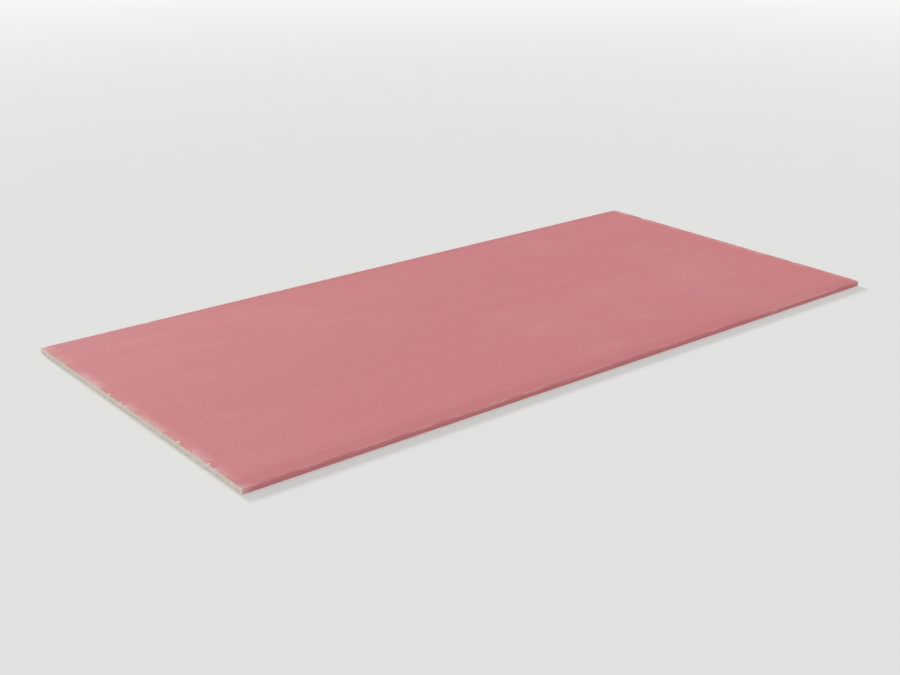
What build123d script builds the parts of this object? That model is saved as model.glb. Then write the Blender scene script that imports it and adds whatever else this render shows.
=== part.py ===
from build123d import *
import os

# Driving sizes in millimetres. X runs along the sheet, Y across it, and +Z out of its face.
sheet_length = 2500  # between the two cut ends
sheet_width = 1200  # between the two paper-bound long edges
sheet_thickness = 18  # from the back paper to the face paper

# Each long edge is thinned on the face side, so that a taped and filled joint finishes level.
taper_width = 55  # how far the thinned strip reaches in from the long edge
taper_depth = 1.4  # how far the face has dropped at the long edge
taper_blend_radius = 700  # easy curve between the flat face and the taper

# The face paper runs round the long edge without a break, so both corners are soft.
face_corner_radius = 2.5
back_corner_radius = 1.5

# On the back the face paper ends as a narrow margin, and the back paper is glued over it.
margin_width = 14  # how much of the folded paper shows beside the back paper
margin_step = 0.4  # the margin lies this much above the back paper

half_width = sheet_width / 2
back_paper_edge = half_width - margin_width
taper_start = half_width - taper_width
edge_top = sheet_thickness - taper_depth

# The corners of one long edge, from the back up to the face, each with its radius. They are
# (across, up) from the middle of the back, and the other long edge is their mirror image.
edge_corners = [
    (back_paper_edge, 0),
    (back_paper_edge, margin_step),
    (half_width, margin_step),
    (half_width, edge_top),
    (taper_start, sheet_thickness),
]
edge_radii = [0, 0, back_corner_radius, face_corner_radius, taper_blend_radius]
mirrored_corners = [(-across, up) for across, up in reversed(edge_corners)]
mirrored_radii = edge_radii[::-1]

# One section along the whole sheet. The ends stay as sawn: square, with no paper round them.
with BuildPart() as drywall_sheet:
    with BuildSketch(Plane.YZ) as section:
        with BuildLine() as outline:
            FilletPolyline(
                edge_corners + mirrored_corners,
                radius=edge_radii + mirrored_radii,
                close=True,
            )
        make_face()
    extrude(amount=sheet_length / 2, both=True)

drywall_sheet.part.label = "drywall_sheet"

os.makedirs("parts", exist_ok=True)
export_step(drywall_sheet.part, "parts/drywall_sheet.step")
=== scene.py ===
import math
import random

import bmesh
import bpy
import numpy as np
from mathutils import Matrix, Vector, noise


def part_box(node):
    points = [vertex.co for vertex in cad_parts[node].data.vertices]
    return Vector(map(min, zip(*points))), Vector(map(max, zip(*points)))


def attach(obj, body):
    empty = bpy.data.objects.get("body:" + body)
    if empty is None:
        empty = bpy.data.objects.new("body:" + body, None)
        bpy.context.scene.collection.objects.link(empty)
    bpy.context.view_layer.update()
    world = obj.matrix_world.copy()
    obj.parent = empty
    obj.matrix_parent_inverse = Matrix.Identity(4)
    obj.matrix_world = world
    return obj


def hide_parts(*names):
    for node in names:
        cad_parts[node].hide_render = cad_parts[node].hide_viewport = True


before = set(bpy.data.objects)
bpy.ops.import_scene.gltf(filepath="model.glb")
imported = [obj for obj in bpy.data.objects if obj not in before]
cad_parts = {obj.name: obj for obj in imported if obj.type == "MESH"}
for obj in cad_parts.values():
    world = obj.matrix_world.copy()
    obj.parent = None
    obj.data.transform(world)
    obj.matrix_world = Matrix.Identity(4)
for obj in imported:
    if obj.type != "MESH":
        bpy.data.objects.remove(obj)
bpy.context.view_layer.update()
halfLength, halfWidth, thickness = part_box("drywall_sheet")[1]  # its highest corner
mm = 0.001
finer = 3  # a paper has this many columns at its cut ends for each one further in

# Section of the board, the same sizes as the solid has
board = {
    "taperWidth": 55 * mm,
    "taperDepth": 1.4 * mm,
    "taperBlend": 700 * mm,  # radius of the easy curve into the flat face
    "faceCorner": 2.5 * mm,
    "backCorner": 1.5 * mm,
    "marginWidth": 14 * mm,  # folded face paper left showing on the back
    "marginStep": 0.4 * mm,
    "flapWidth": 25 * mm,  # the fold goes on this far in, under the back paper
    "paper": 0.4 * mm,
}


# Small tools

def noiseAt(points, size, seed):
    # smooth noise from about -0.9 to 0.9 at every point, in blobs of this size
    apart = 17.3  # each seed reads the noise this many blobs further on
    scaled = np.asarray(points, float) / size + seed * apart
    return np.array([noise.noise(p) for p in scaled])


def swellAt(points, size, seed):
    # the same noise as a share, from about 0 to 1
    return 0.5 + 0.5 * noiseAt(points, size, seed)


def packed(along, across, up):
    # x, y and z, each a number or an array, as one list of points
    return np.stack(np.broadcast_arrays(along, across, up), axis=-1).reshape(-1, 3).astype(float)


def numbered(rows):
    # the numbers that the points of each row have once the rows are joined
    starts = np.cumsum([0] + [len(row) for row in rows])
    return [np.arange(start, stop) for start, stop in zip(starts, starts[1:])]


def makePiece(name, points, faces, spots):
    # spots: where each corner of each face lies on the map for the piece's colours
    mesh = bpy.data.meshes.new(name)
    mesh.from_pydata(points.tolist(), [], [[int(i) for i in face] for face in faces])
    layer = mesh.uv_layers.new(name="OFBake")
    layer.uv.foreach_set("vector", np.asarray(spots, np.float32).ravel())
    shape = bmesh.new()
    shape.from_mesh(mesh)
    bmesh.ops.recalc_face_normals(shape, faces=shape.faces)
    shape.to_mesh(mesh)
    shape.free()
    mesh.shade_smooth()
    mesh.set_sharp_from_angle(angle=math.radians(35))
    piece = bpy.data.objects.new(name, mesh)
    bpy.context.scene.collection.objects.link(piece)
    return piece


def paintValue(piece, name, values):
    # one number for each point of the mesh, which its material reads
    layer = piece.data.attributes.new(name, "FLOAT", "POINT")
    layer.data.foreach_set("value", np.asarray(values, np.float32))


def stripFaces(a, b):
    # quads between two rows of points; where one row is finer, each face takes in all its steps
    if len(a) == len(b):
        return list(zip(a[:-1], a[1:], b[1:], b[:-1]))
    if len(a) < len(b):
        a, b = b, a
    return [(*a[finer * i:finer * (i + 1) + 1], b[i + 1], b[i]) for i in range(len(b) - 1)]


# Flat maps for the colours: what shows gets the room, and hidden sides get thin strips

flatMap = {
    "rim": 0.004,  # clear space round each part of the map
    "paperHidden": 0.05,  # strip for a paper's glued side
    "paperFold": 0.008,  # room for the thickness of its cut edges
    "fineReach": 45 * mm,  # drawn larger this far in from ends and edges
    "fineShare": 0.07,
    "endBlocks": 6,  # each sawn end lies on the map in this many rows
    "coreStrips": (0.04, 0.008, 0.008, 0.008, 0.04),  # the core's sides from one end to the other
}


def mapPoints(x, y):
    return packed(x, y, 0)[:, :2]


def spreadOut(values, start, end):
    # places on the map from start to end, drawn larger near both ends of the values
    reach = flatMap["fineReach"]
    room = flatMap["fineShare"] * (end - start)
    low, high = min(values), max(values)
    return np.interp(
        values, [low, low + reach, high - reach, high], [start, start + room, end - room, end]
    )


# Small hurts that core and papers share

wear = {
    "faceWave": 0.15 * mm,  # the face dips by this at most
    "waveSize": 260 * mm,
    "waveSeed": 1,
    "edgeWander": 0.5 * mm,  # the long edges run in by this at most
    "wanderSize": 400 * mm,
    "wanderSeed": 2,
    "bruiseSeed": 7,
    "edgeBruises": 22,
    "bruiseSize": (6 * mm, 15 * mm),
    "bruiseDepth": (0.4 * mm, 1.3 * mm),
    "bruiseHeights": (0.92, 0.92, 0.85, 0.4),  # shares of the thickness: most are beside the face
    "upperPush": -0.7,  # a blow beside the face also presses down, and lower on it lifts a little
    "lowerPush": 0.1,
    "endClearance": 40 * mm,  # between a cut end and the nearest bruise
    "corners": ((-1, -1, 1), (1, -1, 0.55), (1, 1, 0.75), (-1, 1, 0.4)),  # end, edge, how much
    "cornerCrush": 2.2 * mm,
    "cornerPush": (0.7, 0.6, 0.4),  # in from the end, in from the edge, and down
    "cornerSize": 26 * mm,
    "faceCornerRubAndHighlight": 3.5 * mm,  # how far a rub and a painted highlight reach from each rounded corner of a long edge
    "backCornerRubAndHighlight": 2 * mm,
    "bruiseRub": 1.3,
}


def placeBruises():
    dice = random.Random(wear["bruiseSeed"])
    reach = halfLength - wear["endClearance"]
    hurts = []
    for _ in range(wear["edgeBruises"]):
        edge = dice.choice((-1, 1))
        along = dice.uniform(-reach, reach)
        up = dice.choice(wear["bruiseHeights"]) * thickness
        lift = wear["upperPush"] if up > thickness / 2 else wear["lowerPush"]
        hurts.append({
            "at": (along, edge * halfWidth, up),
            "push": Vector((0, -edge, lift)).normalized() * dice.uniform(*wear["bruiseDepth"]),
            "size": dice.uniform(*wear["bruiseSize"]),
        })
    fromEnd, fromEdge, down = wear["cornerPush"]
    for end, edge, share in wear["corners"]:
        hurts.append({
            "at": (end * halfLength, edge * halfWidth, thickness),
            "push": -Vector((end * fromEnd, edge * fromEdge, down)) * wear["cornerCrush"] * share,
            "size": wear["cornerSize"] * (1 + share) / 2,
        })
    return hurts


def bruiseWeight(points, bruise):
    # 1 in the middle of a bruise, easing off to 0 at its rim
    distance = np.linalg.norm(points - np.array(bruise["at"]), axis=1) / bruise["size"]
    return np.clip(1 - distance ** 2, 0, None) ** 2


def weathered(points):
    # bends core and papers alike, always inwards
    worn = points.copy()
    along, across, up = points.T
    wave = swellAt(packed(along, across, 0), wear["waveSize"], wear["waveSeed"])
    worn[:, 2] -= wear["faceWave"] * wave * up / thickness
    nearEdge = np.clip(1 - (halfWidth - abs(across)) / board["taperWidth"], 0, 1)
    side = np.sign(across)
    wander = swellAt(packed(along, side, 0), wear["wanderSize"], wear["wanderSeed"])
    worn[:, 1] -= side * wear["edgeWander"] * wander * nearEdge
    for bruise in bruises:
        worn += np.outer(bruiseWeight(points, bruise), bruise["push"])
    worn[:, 2] = np.clip(worn[:, 2], 0, thickness)
    return worn


def rubAndHighlightAt(points):
    # rubbed paper that is also a painted highlight, strongest along the two rounded corners of each long
    # edge, and worn paper inside a bruise
    along, across, up = points.T
    corners = (
        (thickness - board["taperDepth"], wear["faceCornerRubAndHighlight"]),
        (board["marginStep"], wear["backCornerRubAndHighlight"]),
    )
    rubbed = np.zeros(len(points))
    for height, reach in corners:
        distance = np.hypot(halfWidth - abs(across), up - height)
        rubbed = np.maximum(rubbed, np.exp(-(distance / reach) ** 2))
    for bruise in bruises:
        rubbed = np.maximum(rubbed, wear["bruiseRub"] * bruiseWeight(points, bruise))
    return rubbed


bruises = placeBruises()


# Outlines of the two papers, seen from a cut end

paperPitch = {  # between columns away from the cut ends
    "flap": 5 * mm,
    "edge": 3 * mm,
    "taper": 5.5 * mm,
    "flat": 15 * mm,
}


def roundedPath(corners, radii, pitches, arcSteps):
    # runs and arcs that all turn left, in the finer steps of the cut ends
    corners = [Vector(corner) for corner in corners]
    path = [corners[0]]

    def addRun(end, pitch):
        start = path[-1]
        steps = finer * max(1, round((end - start).length / pitch))
        path.extend(start.lerp(end, step / steps) for step in range(1, steps + 1))

    def addArc(goingIn, turn, radius, steps):
        centre = path[-1] + Vector((-goingIn.y, goingIn.x)) * radius
        spoke = path[-1] - centre
        for step in range(1, steps + 1):
            cosine = math.cos(turn * step / steps)
            sine = math.sin(turn * step / steps)
            turned = Vector((spoke.x * cosine - spoke.y * sine, spoke.x * sine + spoke.y * cosine))
            path.append(centre + turned)

    for i, corner in enumerate(corners[1:-1]):
        goingIn = (corner - corners[i]).normalized()
        goingOut = (corners[i + 2] - corner).normalized()
        turn = goingIn.angle(goingOut)
        addRun(corner - goingIn * radii[i] * math.tan(turn / 2), pitches[i])
        addArc(goingIn, turn, radii[i], finer * arcSteps[i])
    addRun(corners[-1], pitches[-1])
    return np.array(path)


def outwardOf(path):
    direction = np.gradient(path, axis=0)
    outward = np.stack([direction[:, 1], -direction[:, 0]], axis=1)
    return outward / np.linalg.norm(outward, axis=1, keepdims=True)


def facePaperPath():
    # from under the back paper, round one long edge, over the face and round the other
    half = roundedPath(
        [
            (halfWidth - board["flapWidth"], board["marginStep"]),
            (halfWidth, board["marginStep"]),
            (halfWidth, thickness - board["taperDepth"]),
            (halfWidth - board["taperWidth"], thickness),
            (0, thickness),
        ],
        radii=[board["backCorner"], board["faceCorner"], board["taperBlend"]],
        pitches=[paperPitch["flap"], paperPitch["edge"], paperPitch["taper"], paperPitch["flat"]],
        arcSteps=[2, 3, 2],
    )
    return np.vstack([half, half[-2::-1] * (-1, 1)])


def backPaperPath():
    edge = halfWidth - board["marginWidth"]
    columns = np.linspace(-edge, edge, finer * round(2 * edge / paperPitch["flat"]) + 1)
    return np.stack([columns, np.zeros_like(columns)], axis=1)


# Papers: closed sheets of their real thickness, with finer columns at the cut ends

paperCut = {
    "fineStations": [0, 0.5 * mm, 1.2 * mm, 2.4 * mm, 4.5 * mm, 8 * mm],  # distances from the cut
    "coarseStations": [13 * mm, 20 * mm, 30 * mm, 42 * mm],
    "stationPitch": 25 * mm,
    "bruisePitch": 3 * mm,
    "leastPitch": 1.8 * mm,
    "reach": 12 * mm,  # how far in the cut end is disturbed
    "ripple": 0.3 * mm,  # unevenness of the cut line
    "rippleSize": 4 * mm,
    "tear": 2.4 * mm,  # deepest torn place
    "tearSize": 14 * mm,
    "tearSteepness": 2.6,
    "tearRarity": 0.75,
    "tearGrain": 3 * mm,
    "tearDepths": (0.7, 0.6),  # usual share of the depth, and how much it varies
    "curl": 0.12 * mm,  # how far torn paper stands up
}


def paperStations():
    # distances along the board, closer together where it is bruised
    inset = halfLength - paperCut["coarseStations"][-1]
    count = round(2 * inset / paperCut["stationPitch"])
    places = list(np.linspace(-inset, inset, count + 1))
    for bruise in bruises:
        reach = bruise["size"]
        extra = np.arange(-reach, reach, paperCut["bruisePitch"]) + bruise["at"][0]
        places.extend(x for x in extra if abs(x) < inset)
    places.sort()
    kept = places[:1]
    for place in places[1:]:
        if place - kept[-1] > paperCut["leastPitch"]:
            kept.append(place)
    kept[-1] = inset
    ends = [halfLength - s for s in paperCut["coarseStations"][:-1]]
    return [-x for x in ends] + kept + ends[::-1]


def tornAt(points, seed):
    # 0 where the cut is clean, up to 1 in the middle of a tear
    places = noiseAt(points, paperCut["tearSize"], seed)
    torn = np.clip(places * paperCut["tearSteepness"] - paperCut["tearRarity"], 0, 1)
    usual, varied = paperCut["tearDepths"]
    return torn * (usual + varied * noiseAt(points, paperCut["tearGrain"], seed + 1))


def paperRows(path, stations, seed):
    # at each station a row of points on the paper's outer side, then one on its inner side
    outward = outwardOf(path)
    rows, tears = [], []
    for along, columns in stations:
        end = math.copysign(1, along)
        fade = max(0, 1 - (halfLength - abs(along)) / paperCut["reach"])
        onCut = packed(end * halfLength, *path[columns].T)
        torn = tornAt(onCut, seed) if fade else np.zeros(len(columns))
        ripple = swellAt(onCut, paperCut["rippleSize"], seed + 2) if fade else 0
        shift = fade ** 2 * (paperCut["ripple"] * ripple + paperCut["tear"] * torn)
        raised = fade ** 3 * paperCut["curl"] * torn
        for side in (path, path - outward * board["paper"]):
            across, up = (side[columns] + outward[columns] * raised[:, None]).T
            rows.append(packed(along - end * shift, across, np.maximum(up, 0)))
            tears.append(fade * torn)
    return rows, tears


def paperMap(stations, path):
    # for each point: its place on the sheet, and where it goes when it belongs to a cut edge
    rim, fold = flatMap["rim"], flatMap["paperFold"]
    bottom = flatMap["paperHidden"] + 3 * rim  # the side that shows starts above the hidden one
    lengthwise = spreadOut([along for along, columns in stations], rim + fold, 1 - rim - fold)
    steps = np.linalg.norm(np.diff(path, axis=0), axis=1)
    crosswise = spreadOut(np.append(0, np.cumsum(steps)), bottom + fold, 1 - rim - fold)
    hidden = np.interp(crosswise, [crosswise[0], crosswise[-1]], [rim, flatMap["paperHidden"]])
    foldedLengthwise = [rim, *lengthwise[1:-1], 1 - rim]
    foldedCrosswise = np.array([bottom, *crosswise[1:-1], 1 - rim])
    sheet, endCut, sideCut = [], [], []
    for place, folded, (_, columns) in zip(lengthwise, foldedLengthwise, stations):
        outer = mapPoints(place, crosswise[columns])
        sheet += [outer, mapPoints(place, hidden[columns])]
        endCut += [outer, mapPoints(folded, crosswise[columns])]
        sideCut += [outer, mapPoints(place, foldedCrosswise[columns])]
    return np.vstack(sheet), np.vstack(endCut), np.vstack(sideCut)


def paperSheet(name, path, seed):
    fine = np.arange(len(path))
    fineEnds = [halfLength - s for s in paperCut["fineStations"]]
    stations = [(-x, fine) for x in fineEnds]
    stations += [(x, fine[::finer]) for x in paperStations()]
    stations += [(x, fine) for x in fineEnds[::-1]]
    rows, tears = paperRows(path, stations, seed)
    numbers = numbered(rows)
    outer, inner = numbers[0::2], numbers[1::2]

    sheet, endCut, sideCut = [], [], []
    for side in (outer, inner):
        for a, b in zip(side, side[1:]):
            sheet += stripFaces(a, b)
    for i in (0, -1):
        endCut += stripFaces(outer[i], inner[i])
    pairs = list(zip(outer, inner))
    for (a, c), (b, d) in zip(pairs, pairs[1:]):
        sideCut += [(a[i], b[i], d[i], c[i]) for i in (0, -1)]
    spots = [
        places[[point for face in faces for point in face]]
        for places, faces in zip(paperMap(stations, path), (sheet, endCut, sideCut))
    ]

    clean = np.vstack(rows)
    piece = makePiece(name, weathered(clean), sheet + endCut + sideCut, np.vstack(spots))
    paintValue(piece, "torn", np.concatenate(tears))
    # worn places, and a painted highlight along the rounded corners of the long edges
    paintValue(piece, "rubbed", rubAndHighlightAt(clean))
    return piece


# Gypsum core: only its two sawn ends show

sawnEnd = {
    "seeds": (31, 47),  # left end, right end
    "columnPitch": 0.8 * mm,
    "cornerReach": 3.6 * mm,  # finer columns this near to a long edge
    "cornerColumns": 13,
    "rows": 22,
    "setback": 0.2 * mm,  # behind the paper's cut edge
    "rough": 0.3 * mm,
    "lumpSize": 7 * mm,
    "grainSize": 1.9 * mm,
    "grainShare": 0.4,
    "sawPitch": 2.6 * mm,
    "sawDepth": 0.09 * mm,
    "sawLean": 0.35,  # how far a saw line leans across for each part that it goes up
    "sawSway": 4 * mm,
    "swaySize": 30 * mm,
    "crumble": 0.9 * mm,  # loss along the rims, beside the papers
    "crumbleSize": 6 * mm,
    "crumbleReach": 1.3 * mm,
    "crumbleSteepness": 2.4,
    "crumbleRarity": 0.35,
    "pits": 700,
    "pitSize": (0.5 * mm, 1.1 * mm),
    "pitDepth": 0.55,  # as a share of its size
    "solidDepth": 6 * mm,  # full section this far in, and a little slack under the paper beyond
    "slackStart": 12 * mm,
    "slack": 2 * mm,
}


def coreColumns():
    # places across the board
    widest = halfWidth - board["paper"]
    cornerStart = widest - sawnEnd["cornerReach"]
    steps = round(cornerStart / sawnEnd["columnPitch"])
    half = np.concatenate([
        np.linspace(0, cornerStart, steps, endpoint=False),
        np.linspace(cornerStart, widest, sawnEnd["cornerColumns"]),
    ])
    return np.concatenate([-half[:0:-1], half])


def coreHeights(across):
    # the core's underside and top at each place across the board
    path = facePaperPath()
    inner = (path - outwardOf(path) * board["paper"])[:len(path) // 2 + 1]
    upright = np.flatnonzero(inner[:, 0] > inner[:, 0].max() - mm / 1000)
    foldEnd = halfWidth - board["flapWidth"]
    under = np.vstack([
        (0, board["marginStep"]),
        (foldEnd - mm, board["marginStep"]),
        inner[:upright[0] + 1],
    ])
    over = inner[upright[-1]:][::-1]
    return np.interp(abs(across), *under.T), np.interp(abs(across), *over.T)


def sawnRelief(columns, up, fromRim, seed):
    # how far each point of the end lies behind a flat cut
    across = np.broadcast_to(columns, up.shape)
    here = packed(0, across, up)

    def grainOf(size, offset):
        return noiseAt(here, size, seed + offset).reshape(up.shape)

    lumps = 0.5 + 0.5 * grainOf(sawnEnd["lumpSize"], 0)
    grain = sawnEnd["grainShare"] * grainOf(sawnEnd["grainSize"], 1)
    relief = sawnEnd["setback"] + sawnEnd["rough"] * (lumps + grain)

    sway = grainOf(sawnEnd["swaySize"], 2)
    stroke = (across + sawnEnd["sawLean"] * up + sawnEnd["sawSway"] * sway) / sawnEnd["sawPitch"]
    bite = 0.6 + 0.4 * sway
    relief += sawnEnd["sawDepth"] * np.sin(2 * math.pi * stroke) * bite

    loose = sawnEnd["crumbleSteepness"] * grainOf(sawnEnd["crumbleSize"], 3)
    loose = np.clip(loose - sawnEnd["crumbleRarity"], 0, 1)
    relief += sawnEnd["crumble"] * loose * np.exp(-fromRim / sawnEnd["crumbleReach"])

    dice = random.Random(seed)
    for _ in range(sawnEnd["pits"]):
        size = dice.uniform(*sawnEnd["pitSize"])
        y = dice.uniform(-halfWidth, halfWidth)
        z = dice.uniform(0, thickness)
        near = slice(*np.searchsorted(columns, (y - size, y + size)))
        distance = np.hypot(across[:, near] - y, up[:, near] - z) / size
        hollow = np.sqrt(np.clip(1 - distance ** 2, 0, None))
        relief[:, near] += sawnEnd["pitDepth"] * size * hollow
    return np.clip(relief, 0, None)


def stripMap(quads, bottom, top):
    # the corners of a strip of quads, from bottom to top of its place on the map
    rim = flatMap["rim"]
    places = np.linspace(rim, 1 - rim, quads + 1)
    left, right = places[:-1], places[1:]
    low, high = bottom + rim / 2, top - rim / 2
    corners = [(left, low), (right, low), (right, high), (left, high)]
    return np.stack([mapPoints(x, y) for x, y in corners], axis=1).reshape(-1, 2)


def endMap(columns, firstRow):
    # one sawn end, cut into blocks that lie on the map one above the other
    blocks = flatMap["endBlocks"]
    start = sum(flatMap["coreStrips"])
    height = (1 - start) / (2 * blocks)
    edges = np.linspace(0, columns - 1, blocks + 1).round().astype(int)
    rowHeight = (height - flatMap["rim"]) / (sawnEnd["rows"] - 1)
    spots = []
    for row in range(sawnEnd["rows"] - 1):
        for block, (first, last) in enumerate(zip(edges, edges[1:])):
            low = start + (firstRow + block) * height + row * rowHeight
            spots.append(stripMap(last - first, low, low + rowHeight + flatMap["rim"]))
    return np.vstack(spots)


def gypsumCore():
    columns = coreColumns()
    bottom, top = coreHeights(columns)
    up = bottom + (top - bottom) * np.linspace(0, 1, sawnEnd["rows"])[:, None]
    across = np.broadcast_to(columns, up.shape)
    fromRim = np.minimum(up - bottom, top - up)
    grid = np.arange(up.size).reshape(up.shape)
    rim = np.concatenate([grid[0], grid[1:, -1], grid[-1, -2::-1], grid[-2:0:-1, 0]])
    rimAcross = across.ravel()[rim]
    rimUp = up.ravel()[rim]

    def girthAt(along, slack):
        # a loop of points round the core, drawn in by the slack
        narrower = 1 - slack / halfWidth
        thinner = 1 - 2 * slack / thickness
        middle = thickness / 2
        return packed(along, rimAcross * narrower, middle + (rimUp - middle) * thinner)

    left, right = [sawnRelief(columns, up, fromRim, seed) for seed in sawnEnd["seeds"]]
    solidFrom = halfLength - sawnEnd["solidDepth"]
    slackFrom = halfLength - sawnEnd["slackStart"]
    rows = [
        packed(left - halfLength, across, up),
        girthAt(-solidFrom, 0),
        girthAt(-slackFrom, sawnEnd["slack"]),
        girthAt(slackFrom, sawnEnd["slack"]),
        girthAt(solidFrom, 0),
        packed(halfLength - right, across, up),
    ]
    numbers = numbered(rows)

    faces, spots = [], []
    for end, firstRow in ((numbers[0], 0), (numbers[-1], flatMap["endBlocks"])):
        for lower, upper in zip(end[grid], end[grid][1:]):
            faces += stripFaces(lower, upper)
        spots.append(endMap(len(columns), firstRow))
    loops = [numbers[0][rim], *numbers[1:-1], numbers[-1][rim]]
    height = 0
    for a, b, strip in zip(loops, loops[1:], flatMap["coreStrips"]):
        faces += stripFaces(np.append(a, a[0]), np.append(b, b[0]))
        spots.append(stripMap(len(a), height, height + strip))
        height += strip

    piece = makePiece("gypsumCore", weathered(np.vstack(rows)), faces, np.vstack(spots))
    hidden = np.zeros(sum(len(loop) for loop in loops[1:-1]))
    # how deep each point of the sawn ends lies; the material paints shade where it is deep
    paintValue(piece, "depth", np.concatenate([left.ravel(), hidden, right.ravel()]) / mm)
    return piece


# Node helpers

def shade(red, green, blue):
    # a colour as a screen shows it, 0 to 255, turned into the values that nodes use
    channels = [c / 255 for c in (red, green, blue)]
    linear = [c / 12.92 if c <= 0.04045 else ((c + 0.055) / 1.055) ** 2.4 for c in channels]
    return (*linear, 1)


def feed(tree, socket, value):
    if isinstance(value, bpy.types.NodeSocket):
        tree.links.new(value, socket)
    else:
        socket.default_value = value


def maths(tree, operation, *values, clamp=False):
    node = tree.nodes.new("ShaderNodeMath")
    node.operation = operation
    node.use_clamp = clamp
    for socket, value in zip(node.inputs, values):
        feed(tree, socket, value)
    return node.outputs["Value"]


def weighed(tree, *terms, base=0.0, clamp=False):
    # the base and several values, each times its own weight, added up
    total = base
    for value, weight in terms:
        total = maths(tree, "MULTIPLY_ADD", value, weight, total, clamp=clamp)
    return total


def stretched(tree, vector, scales, turn=(0, 0, 0)):
    # turned first and scaled after, so that the stretch lies along the turned axes
    node = tree.nodes.new("ShaderNodeMapping")
    node.vector_type = "TEXTURE"
    feed(tree, node.inputs["Vector"], vector)
    node.inputs["Rotation"].default_value = [math.radians(angle) for angle in turn]
    node.inputs["Scale"].default_value = [1 / scale for scale in scales]
    return node.outputs["Vector"]


def noiseNode(tree, vector, scale, detail=2, roughness=0.5):
    node = tree.nodes.new("ShaderNodeTexNoise")
    feed(tree, node.inputs["Vector"], vector)
    node.inputs["Scale"].default_value = scale
    node.inputs["Detail"].default_value = detail
    node.inputs["Roughness"].default_value = roughness
    return node.outputs["Fac"]


def stretchedNoise(tree, vector, scales, turn=(0, 0, 0), detail=2, roughness=0.5):
    return noiseNode(tree, stretched(tree, vector, scales, turn), 1, detail, roughness)


def cellNode(tree, vector, scale, output="Distance"):
    node = tree.nodes.new("ShaderNodeTexVoronoi")
    feed(tree, node.inputs["Vector"], vector)
    node.inputs["Scale"].default_value = scale
    return node.outputs[output]


def between(tree, value, start, end, toStart=0, toEnd=1):
    # value as a share of the way from start to end, held at both
    node = tree.nodes.new("ShaderNodeMapRange")
    node.interpolation_type = "SMOOTHSTEP"
    for name, number in (("From Min", start), ("From Max", end), ("To Min", toStart), ("To Max", toEnd)):
        node.inputs[name].default_value = number
    feed(tree, node.inputs["Value"], value)
    return node.outputs["Result"]


def mixed(tree, share, first, second):
    node = tree.nodes.new("ShaderNodeMix")
    node.data_type = "RGBA"
    feed(tree, node.inputs[0], share)
    feed(tree, node.inputs[6], first)  # 6, 7 and 2 are the node's colour sockets
    feed(tree, node.inputs[7], second)
    return node.outputs[2]


def tinted(tree, colour, mask, tint):
    # a tint is a colour, and how much of it shows where the mask is full
    over, most = tint
    return mixed(tree, maths(tree, "MULTIPLY", mask, most), colour, over)


def painted(tree, name):
    node = tree.nodes.new("ShaderNodeAttribute")
    node.attribute_name = name
    return node.outputs["Fac"]


def newGroup(name, inputs, outputs):
    # inputs: a label and the number that it starts with, or None for a vector
    group = bpy.data.node_groups.new(name, "ShaderNodeTree")
    for label, start in inputs.items():
        kind = "NodeSocketVector" if start is None else "NodeSocketFloat"
        socket = group.interface.new_socket(label, in_out="INPUT", socket_type=kind)
        if start is not None:
            socket.default_value = start
    for label in outputs:
        group.interface.new_socket(label, in_out="OUTPUT", socket_type="NodeSocketFloat")
    entry = group.nodes.new("NodeGroupInput")
    leave = group.nodes.new("NodeGroupOutput")
    return group, entry.outputs, leave.inputs


def placed(tree, group, **values):
    # puts a group into a material; a value named fibreLength feeds its input Fibre Length
    node = tree.nodes.new("ShaderNodeGroup")
    node.node_tree = group
    for name, value in values.items():
        label = "".join(" " + letter if letter.isupper() else letter for letter in name)
        feed(tree, node.inputs[label[0].upper() + label[1:]], value)
    return node.outputs


def newMaterial(name):
    material = bpy.data.materials.new(name)
    material.use_nodes = True
    tree = material.node_tree
    tree.nodes.clear()
    leave = tree.nodes.new("ShaderNodeOutputMaterial")
    shader = tree.nodes.new("ShaderNodeBsdfPrincipled")
    tree.links.new(shader.outputs["BSDF"], leave.inputs["Surface"])
    place = tree.nodes.new("ShaderNodeTexCoord").outputs["Object"]
    return material, tree, shader, place


def addBump(tree, shader, height, depth):
    node = tree.nodes.new("ShaderNodeBump")
    node.inputs["Strength"].default_value = 1.0
    node.inputs["Distance"].default_value = depth
    feed(tree, node.inputs["Height"], height)
    tree.links.new(node.outputs["Normal"], shader.inputs["Normal"])


# Effects that more than one material uses

def makeFibreGroup():
    # matted fibres of recycled paper, laid in crossing directions, with odd flecks
    group, entry, leave = newGroup(
        "matted fibres", {"Vector": None, "Fibre Length": 3 * mm}, ["Fibres", "Flecks"]
    )
    perFibre = group.nodes.new("ShaderNodeVectorMath")
    perFibre.operation = "SCALE"
    feed(group, perFibre.inputs["Vector"], entry["Vector"])
    feed(group, perFibre.inputs["Scale"], maths(group, "DIVIDE", 1.0, entry["Fibre Length"]))
    vector = perFibre.outputs["Vector"]

    fibres = 0.0
    for turn in (12, -31, 58, -77):
        strand = stretchedNoise(group, vector, (1, 7, 7), turn=(0, 0, turn), detail=1)
        fibres = maths(group, "ADD", fibres, between(group, strand, 0.5, 0.7))
    feed(group, leave["Fibres"], maths(group, "MULTIPLY", fibres, 0.45, clamp=True))

    cells = stretched(group, vector, (0.35, 0.9, 0.9), turn=(0, 0, 50))
    few = between(group, cellNode(group, cells, 1, "Color"), 0.76, 0.78)  # most cells hold no fleck
    spot = between(group, cellNode(group, cells, 1), 0.2, 0.1)
    feed(group, leave["Flecks"], maths(group, "MULTIPLY", spot, few))
    return group


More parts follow.
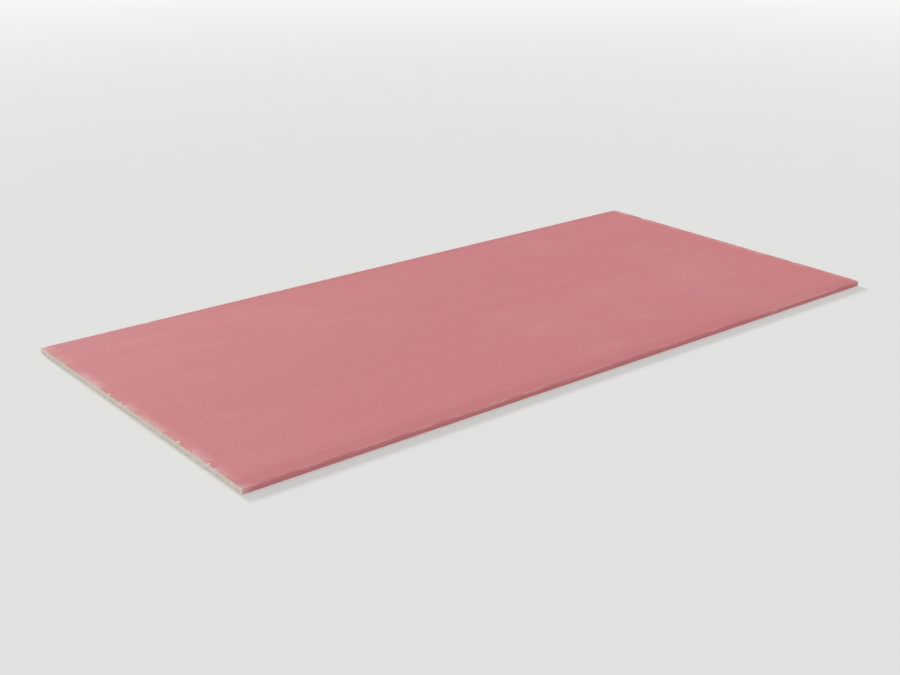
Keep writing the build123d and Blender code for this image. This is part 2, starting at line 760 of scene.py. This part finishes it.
def makeBoardLineGroup():
    # cloudy formation of the paper, and soft streaks along the way it ran off the roll
    group, entry, leave = newGroup("board line", {"Vector": None}, ["Clouds", "Streaks", "Patches"])
    vector = entry["Vector"]
    broad = stretchedNoise(group, vector, (0.4, 14, 14), detail=3)
    narrow = stretchedNoise(group, vector, (0.9, 95, 95), detail=2)
    feed(group, leave["Clouds"], noiseNode(group, vector, 110, detail=4, roughness=0.6))
    feed(group, leave["Streaks"], weighed(group, (broad, 0.6), (narrow, 0.4)))
    feed(group, leave["Patches"], noiseNode(group, vector, 2.3, detail=3, roughness=0.55))
    return group


def makePressedAndShadedGroup():
    # the band along both long edges that the taper belt presses smooth, with painted shade over it for the
    # taper's shading, and a painted highlight along the line where the taper starts
    group, entry, leave = newGroup(
        "pressed edge with painted taper shade",
        {"Vector": None, "Half Width": halfWidth, "Band": board["taperWidth"]},
        ["Pressed", "Crease"],
    )
    vector = entry["Vector"]
    axes = group.nodes.new("ShaderNodeSeparateXYZ")
    feed(group, axes.inputs["Vector"], vector)
    waver = stretchedNoise(group, vector, (3, 1, 1))
    across = weighed(  # the belt's line wavers by 3 mm at most
        group, (maths(group, "ABSOLUTE", axes.outputs["Y"]), 1), (waver, 6 * mm), base=-3 * mm
    )
    fromEdge = maths(group, "SUBTRACT", entry["Half Width"], across)
    share = maths(group, "DIVIDE", fromEdge, entry["Band"])
    # painted shade over the taper band, which the material also makes a little smoother
    feed(group, leave["Pressed"], between(group, share, 1.12, 0.74))

    # painted highlight along the line where the taper starts
    ridge = maths(group, "MULTIPLY", between(group, share, 1.2, 1.0), between(group, share, 0.84, 1.0))
    uneven = between(group, stretchedNoise(group, vector, (4, 9, 9), detail=3), 0.38, 0.68)
    feed(group, leave["Crease"], maths(group, "MULTIPLY", ridge, uneven))
    return group


def makeHandlingGroup():
    # thin scratches and soft rubs from sliding over the next sheet
    group, entry, leave = newGroup("handling marks", {"Vector": None}, ["Scratches", "Rubs"])
    vector = entry["Vector"]
    sway = group.nodes.new("ShaderNodeTexNoise")
    feed(group, sway.inputs["Vector"], vector)
    sway.inputs["Scale"].default_value = 2.6
    bent = group.nodes.new("ShaderNodeVectorMath")
    bent.operation = "MULTIPLY_ADD"
    feed(group, bent.inputs[0], sway.outputs["Color"])
    bent.inputs[1].default_value = (0.09, 0.09, 0)  # how far a scratch bends, along and across
    feed(group, bent.inputs[2], vector)

    scratches = 0.0
    for turn, start in ((4, 0.74), (-8, 0.755), (-31, 0.79), (63, 0.81)):  # the steeper, the fewer
        hair = stretchedNoise(
            group, bent.outputs["Vector"], (2.2, 320, 320), turn=(0, 0, turn), detail=0
        )
        scratches = maths(group, "ADD", scratches, between(group, hair, start, start + 0.05))
    some = between(group, noiseNode(group, vector, 3.1, detail=1), 0.52, 0.66)
    feed(group, leave["Scratches"], maths(group, "MULTIPLY", scratches, some, clamp=True))

    slide = (0, 0, -6)
    broad = stretchedNoise(group, vector, (2.5, 8, 8), turn=slide)
    grain = stretchedNoise(group, vector, (110, 380, 380), turn=slide, detail=3)
    rubs = maths(group, "MULTIPLY", between(group, broad, 0.56, 0.74), between(group, grain, 0.42, 0.62))
    feed(group, leave["Rubs"], rubs)
    return group


def makeDustGroup():
    # chalky dust that falls from the cut ends and drifts over the sheet
    group, entry, leave = newGroup(
        "gypsum dust", {"Vector": None, "Half Length": halfLength, "Reach": 80 * mm}, ["Dust"]
    )
    vector = entry["Vector"]
    axes = group.nodes.new("ShaderNodeSeparateXYZ")
    feed(group, axes.inputs["Vector"], vector)
    fromEnd = maths(group, "SUBTRACT", entry["Half Length"], maths(group, "ABSOLUTE", axes.outputs["X"]))
    share = maths(group, "DIVIDE", fromEnd, entry["Reach"])
    near = maths(group, "POWER", maths(group, "SUBTRACT", 1.0, share, clamp=True), 1.6)
    drift = between(group, noiseNode(group, vector, 11, detail=4, roughness=0.6), 0.4, 0.68)
    fine = between(group, noiseNode(group, vector, 420, detail=3, roughness=0.7), 0.38, 0.68)
    broad = between(group, noiseNode(group, vector, 1.7, detail=5), 0.5, 0.75)
    atEnds = maths(group, "MULTIPLY", near, maths(group, "ADD", drift, 0.12))
    total = weighed(group, (broad, 0.1), base=atEnds)
    feed(group, leave["Dust"], maths(group, "MULTIPLY", total, maths(group, "ADD", fine, 0.25), clamp=True))
    return group


matted = makeFibreGroup()
boardLine = makeBoardLineGroup()
pressedAndShadedEdge = makePressedAndShadedGroup()
handling = makeHandlingGroup()
gypsumDust = makeDustGroup()
print("shared effects ready")


# Face paper: dusty salmon pink

pinkPaper = {
    "deep": shade(189, 112, 117),
    "light": shade(199, 123, 127),
    # rubbed paper, which along the long edges' corners is also a painted highlight
    "rubbedTo": shade(224, 181, 177),
    "torn": shade(222, 200, 192),
    # tints: the colour, and the most of it that shows
    "warm": (shade(196, 118, 116), 0.36),
    "fibre": (shade(216, 156, 156), 0.22),
    "fleck": (shade(161, 95, 99), 0.3),
    # painted shade over the taper, and a painted highlight where it starts
    "pressed": (shade(179, 105, 110), 0.3),
    "crease": (shade(224, 181, 177), 0.09),
    "dust": (shade(230, 212, 206), 0.55),
    "rubs": 0.12,
    "scratches": 0.22,
    "dustReach": 40 * mm,
    "fibreLength": 3.2 * mm,
    "roughness": 0.74,
    "specular": 0.12,
    "tooth": 0.03 * mm,
}


def edgeRubAndHighlight(tree, place):
    # ragged specks that break up the rub and painted highlight along the long edges
    here = between(tree, stretchedNoise(tree, place, (9, 40, 40)), 0.42, 0.62)
    speckle = stretchedNoise(tree, place, (180, 700, 700), detail=6, roughness=0.7)
    speckle = between(tree, speckle, 0.4, 0.64)
    rubbed = maths(tree, "MULTIPLY", painted(tree, "rubbed"), maths(tree, "ADD", here, 0.25))
    return maths(tree, "MULTIPLY", rubbed, weighed(tree, (speckle, 0.55), base=0.1))


def pinkPaperMaterial():
    material, tree, shader, place = newMaterial("dusty pink paper")
    fibre = placed(tree, matted, vector=place, fibreLength=pinkPaper["fibreLength"])
    line = placed(tree, boardLine, vector=place)
    marks = placed(tree, handling, vector=place)
    dust = placed(tree, gypsumDust, vector=place, halfLength=halfLength, reach=pinkPaper["dustReach"])
    edge = placed(tree, pressedAndShadedEdge, vector=place, halfWidth=halfWidth, band=board["taperWidth"])

    tone = between(tree, weighed(tree, (line["Clouds"], 0.6), (line["Streaks"], 0.4)), 0.3, 0.7)
    colour = mixed(tree, tone, pinkPaper["deep"], pinkPaper["light"])
    colour = tinted(tree, colour, between(tree, line["Patches"], 0.4, 0.68), pinkPaper["warm"])
    colour = tinted(tree, colour, fibre["Fibres"], pinkPaper["fibre"])
    colour = tinted(tree, colour, fibre["Flecks"], pinkPaper["fleck"])
    # painted shade over the taper band, and a painted highlight where the taper starts
    colour = tinted(tree, colour, edge["Pressed"], pinkPaper["pressed"])
    colour = tinted(tree, colour, edge["Crease"], pinkPaper["crease"])
    # rubbed and scratched paper; along the long edges' corners it is also a painted highlight
    rubbed = weighed(
        tree,
        (marks["Rubs"], pinkPaper["rubs"]),
        (marks["Scratches"], pinkPaper["scratches"]),
        base=edgeRubAndHighlight(tree, place),
        clamp=True,
    )
    colour = mixed(tree, rubbed, colour, pinkPaper["rubbedTo"])
    colour = tinted(tree, colour, dust["Dust"], pinkPaper["dust"])
    colour = mixed(tree, between(tree, painted(tree, "torn"), 0.05, 0.4), colour, pinkPaper["torn"])
    feed(tree, shader.inputs["Base Color"], colour)

    rough = weighed(
        tree, (rubbed, 0.14), (fibre["Fibres"], -0.06), (edge["Pressed"], -0.06),
        base=pinkPaper["roughness"],
    )
    feed(tree, shader.inputs["Roughness"], rough)
    shader.inputs["Specular IOR Level"].default_value = pinkPaper["specular"]
    height = weighed(tree, (line["Clouds"], 0.5), (marks["Scratches"], -0.8), base=fibre["Fibres"])
    addBump(tree, shader, height, pinkPaper["tooth"])
    return material


# Back paper: unbleached, tan and coarser

tanPaper = {
    "deep": shade(178, 138, 122),
    "light": shade(198, 160, 143),
    "rubbedTo": shade(212, 188, 173),
    "torn": shade(214, 198, 184),
    # tints
    "fibre": (shade(213, 183, 166), 0.5),
    "fleck": (shade(124, 92, 80), 0.7),
    "dust": (shade(232, 220, 208), 0.7),
    "rubs": 0.4,
    "scratches": 0.5,
    "dustReach": 100 * mm,
    "fibreLength": 4.5 * mm,
    "roughness": 0.82,
    "specular": 0.15,
    "tooth": 0.09 * mm,
}


def tanPaperMaterial():
    material, tree, shader, place = newMaterial("tan back paper")
    fibre = placed(tree, matted, vector=place, fibreLength=tanPaper["fibreLength"])
    line = placed(tree, boardLine, vector=place)
    marks = placed(tree, handling, vector=place)
    dust = placed(tree, gypsumDust, vector=place, halfLength=halfLength, reach=tanPaper["dustReach"])

    tone = between(tree, weighed(tree, (line["Clouds"], 0.6), (line["Streaks"], 0.4)), 0.34, 0.66)
    colour = mixed(tree, tone, tanPaper["deep"], tanPaper["light"])
    colour = tinted(tree, colour, fibre["Fibres"], tanPaper["fibre"])
    colour = tinted(tree, colour, fibre["Flecks"], tanPaper["fleck"])
    rubbed = weighed(
        tree, (marks["Rubs"], tanPaper["rubs"]), (marks["Scratches"], tanPaper["scratches"]), clamp=True
    )
    colour = mixed(tree, rubbed, colour, tanPaper["rubbedTo"])
    colour = tinted(tree, colour, dust["Dust"], tanPaper["dust"])
    colour = mixed(tree, between(tree, painted(tree, "torn"), 0.05, 0.4), colour, tanPaper["torn"])
    feed(tree, shader.inputs["Base Color"], colour)

    rough = weighed(tree, (fibre["Fibres"], -0.1), base=tanPaper["roughness"])
    feed(tree, shader.inputs["Roughness"], rough)
    shader.inputs["Specular IOR Level"].default_value = tanPaper["specular"]
    height = weighed(tree, (line["Clouds"], 1.1), base=fibre["Fibres"])
    addBump(tree, shader, height, tanPaper["tooth"])
    return material


# Gypsum: pale, chalky, with bubbles and strands of glass fibre, and painted shade in its pits and deeper
# places

gypsum = {
    "deep": shade(203, 193, 181),
    "light": shade(217, 208, 198),
    # tints
    "chalk": (shade(229, 222, 213), 0.4),
    # painted shade for the pits and hollows
    "pit": (shade(170, 158, 144), 0.6),
    "strand": (shade(236, 230, 222), 0.6),
    "strandTurns": (25, -50, 80),
    "roughness": 0.93,
    "specular": 0.15,
    "grain": 0.12 * mm,
}


def gypsumMaterial():
    material, tree, shader, place = newMaterial("sawn gypsum")
    cloud = between(tree, noiseNode(tree, place, 110, detail=5, roughness=0.65), 0.34, 0.66)
    colour = mixed(tree, cloud, gypsum["deep"], gypsum["light"])
    saw = stretchedNoise(tree, place, (20, 900, 60), turn=(19, 0, 0))
    colour = tinted(tree, colour, between(tree, saw, 0.5, 0.75), gypsum["chalk"])

    bubble = between(tree, cellNode(tree, place, 1100), 0.32, 0.18)
    some = between(tree, noiseNode(tree, place, 500, detail=1), 0.48, 0.6)
    bubble = maths(tree, "MULTIPLY", bubble, some)
    # painted shade: darker in the bubbles and wherever the sawn end lies deeper
    sunkShade = between(tree, painted(tree, "depth"), 0.6, 1.1)
    sunkShade = weighed(tree, (bubble, 0.7), base=sunkShade, clamp=True)
    colour = tinted(tree, colour, sunkShade, gypsum["pit"])

    strands = 0.0
    for turn in gypsum["strandTurns"]:
        strand = stretchedNoise(tree, place, (300, 300, 3600), turn=(turn, 0, 0), detail=0)
        strands = maths(tree, "ADD", strands, between(tree, strand, 0.78, 0.84))
    colour = tinted(tree, colour, strands, gypsum["strand"])
    feed(tree, shader.inputs["Base Color"], colour)

    shader.inputs["Roughness"].default_value = gypsum["roughness"]
    shader.inputs["Specular IOR Level"].default_value = gypsum["specular"]
    grain = noiseNode(tree, place, 1300, detail=4, roughness=0.7)
    addBump(tree, shader, weighed(tree, (bubble, -1.2), base=grain), gypsum["grain"])
    return material


# Build the board

core = gypsumCore()
core.data.materials.append(gypsumMaterial())
print("gypsum core:", len(core.data.polygons), "faces")

facePaper = paperSheet("facePaper", facePaperPath(), seed=3)
facePaper.data.materials.append(pinkPaperMaterial())
print("face paper:", len(facePaper.data.polygons), "faces")

backPaper = paperSheet("backPaper", backPaperPath(), seed=61)
backPaper.data.materials.append(tanPaperMaterial())
print("back paper:", len(backPaper.data.polygons), "faces")

for piece, slotName in ((core, "gypsum"), (facePaper, "face_paper"), (backPaper, "back_paper")):
    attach(piece, "root")
    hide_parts("drywall_sheet")


# Studio

white = (1, 1, 1, 1)

studio = {
    "floorColour": shade(224, 224, 222),
    "floorClouds": (white, 0.025),  # a tint
    "floorRoughness": 0.9,
    "floorReach": 60,
    "floorDrop": 0.1 * mm,  # keeps the floor and the board's back out of one plane
    "openingInset": 5 * mm,  # the floor is open under the board, so that its back shows from below
    "plainWithin": 1.6,  # beyond this the floor fades into the white background
    "whiteBeyond": 14,
    "skyStrength": 0.5,
    "suns": {  # azimuth and height that the light comes from, strength, and softness, in degrees
        "key": (-52, 42, 1.4, 24),
        "rake": (172, 18, 2.2, 8),
        "below": (60, -35, 2.4, 20),  # reaches only the back, through the opening in the floor
    },
}


def seenDirectly(tree):
    # 1 for what the camera or a shiny surface sees, 0 for light on its way to the board
    rays = tree.nodes.new("ShaderNodeLightPath")
    return maths(tree, "MAXIMUM", rays.outputs["Is Camera Ray"], rays.outputs["Is Glossy Ray"])


def floorMaterial():
    material, tree, shader, place = newMaterial("pale studio floor")
    cloud = between(tree, noiseNode(tree, place, 6, detail=4), 0.3, 0.7)
    colour = tinted(tree, studio["floorColour"], cloud, studio["floorClouds"])
    feed(tree, shader.inputs["Base Color"], colour)
    shader.inputs["Roughness"].default_value = studio["floorRoughness"]
    shader.inputs["Specular IOR Level"].default_value = 0.0

    distance = tree.nodes.new("ShaderNodeVectorMath")
    distance.operation = "LENGTH"
    feed(tree, distance.inputs[0], place)
    far = between(tree, distance.outputs["Value"], studio["plainWithin"], studio["whiteBeyond"])
    below = tree.nodes.new("ShaderNodeNewGeometry").outputs["Backfacing"]
    plainWhite = maths(tree, "MULTIPLY", maths(tree, "MAXIMUM", far, below), seenDirectly(tree))
    glow = tree.nodes.new("ShaderNodeEmission")
    blend = tree.nodes.new("ShaderNodeMixShader")
    feed(tree, blend.inputs[0], plainWhite)
    tree.links.new(shader.outputs["BSDF"], blend.inputs[1])
    tree.links.new(glow.outputs["Emission"], blend.inputs[2])
    leave = next(node for node in tree.nodes if node.type == "OUTPUT_MATERIAL")
    tree.links.new(blend.outputs["Shader"], leave.inputs["Surface"])
    return material


def makeFloor():
    reach = studio["floorReach"]
    inset = studio["openingInset"]
    level = -studio["floorDrop"]
    around = [(-1, -1), (1, -1), (1, 1), (-1, 1)]
    points = [(x * reach, y * reach, level) for x, y in around]
    points += [(x * (halfLength - inset), y * (halfWidth - inset), level) for x, y in around]
    faces = [(i, (i + 1) % 4, 4 + (i + 1) % 4, 4 + i) for i in range(4)]
    mesh = bpy.data.meshes.new("studioFloor")
    mesh.from_pydata(points, [], faces)
    mesh.materials.append(floorMaterial())
    floor = bpy.data.objects.new("studioFloor", mesh)
    bpy.context.scene.collection.objects.link(floor)


def makeSky():
    world = bpy.data.worlds.new("studio sky")
    world.use_nodes = True
    tree = world.node_tree
    background = tree.nodes["Background"]
    background.inputs["Color"].default_value = white
    strength = between(tree, seenDirectly(tree), 0, 1, studio["skyStrength"], 1)
    feed(tree, background.inputs["Strength"], strength)
    bpy.context.scene.world = world


def awayFrom(azimuth, elevation):
    # unit vector to a place at this azimuth and height, seen from the board
    azimuth = math.radians(azimuth)
    elevation = math.radians(elevation)
    return Vector((
        math.sin(azimuth) * math.cos(elevation),
        -math.cos(azimuth) * math.cos(elevation),
        math.sin(elevation),
    ))


def makeLamps():
    for name, (azimuth, height, strength, softness) in studio["suns"].items():
        light = bpy.data.lights.new(name, "SUN")
        light.energy = strength
        light.angle = math.radians(softness)
        lamp = bpy.data.objects.new(name + "Lamp", light)
        lamp.rotation_euler = (-awayFrom(azimuth, height)).to_track_quat("-Z", "Y").to_euler()
        bpy.context.scene.collection.objects.link(lamp)


# Camera: low and off the near left corner, as in the photograph

view = {
    "azimuth": -39,
    "elevation": 21,
    "distance": 4.2,
    "aim": (-0.19, -0.09, 0),
    "lens": 53,
    "sensorWidth": 36,
}


def makeCamera():
    camera = bpy.data.cameras.new("camera")
    camera.lens = view["lens"]
    camera.sensor_width = view["sensorWidth"]
    holder = bpy.data.objects.new("camera", camera)
    back = awayFrom(view["azimuth"], view["elevation"])
    holder.location = Vector(view["aim"]) + back * view["distance"]
    holder.rotation_euler = (-back).to_track_quat("-Z", "Y").to_euler()
    bpy.context.scene.collection.objects.link(holder)
    bpy.context.scene.camera = holder


makeFloor()
makeSky()
makeLamps()
makeCamera()
bpy.context.scene.view_settings.view_transform = "Standard"
print("studio and camera ready")
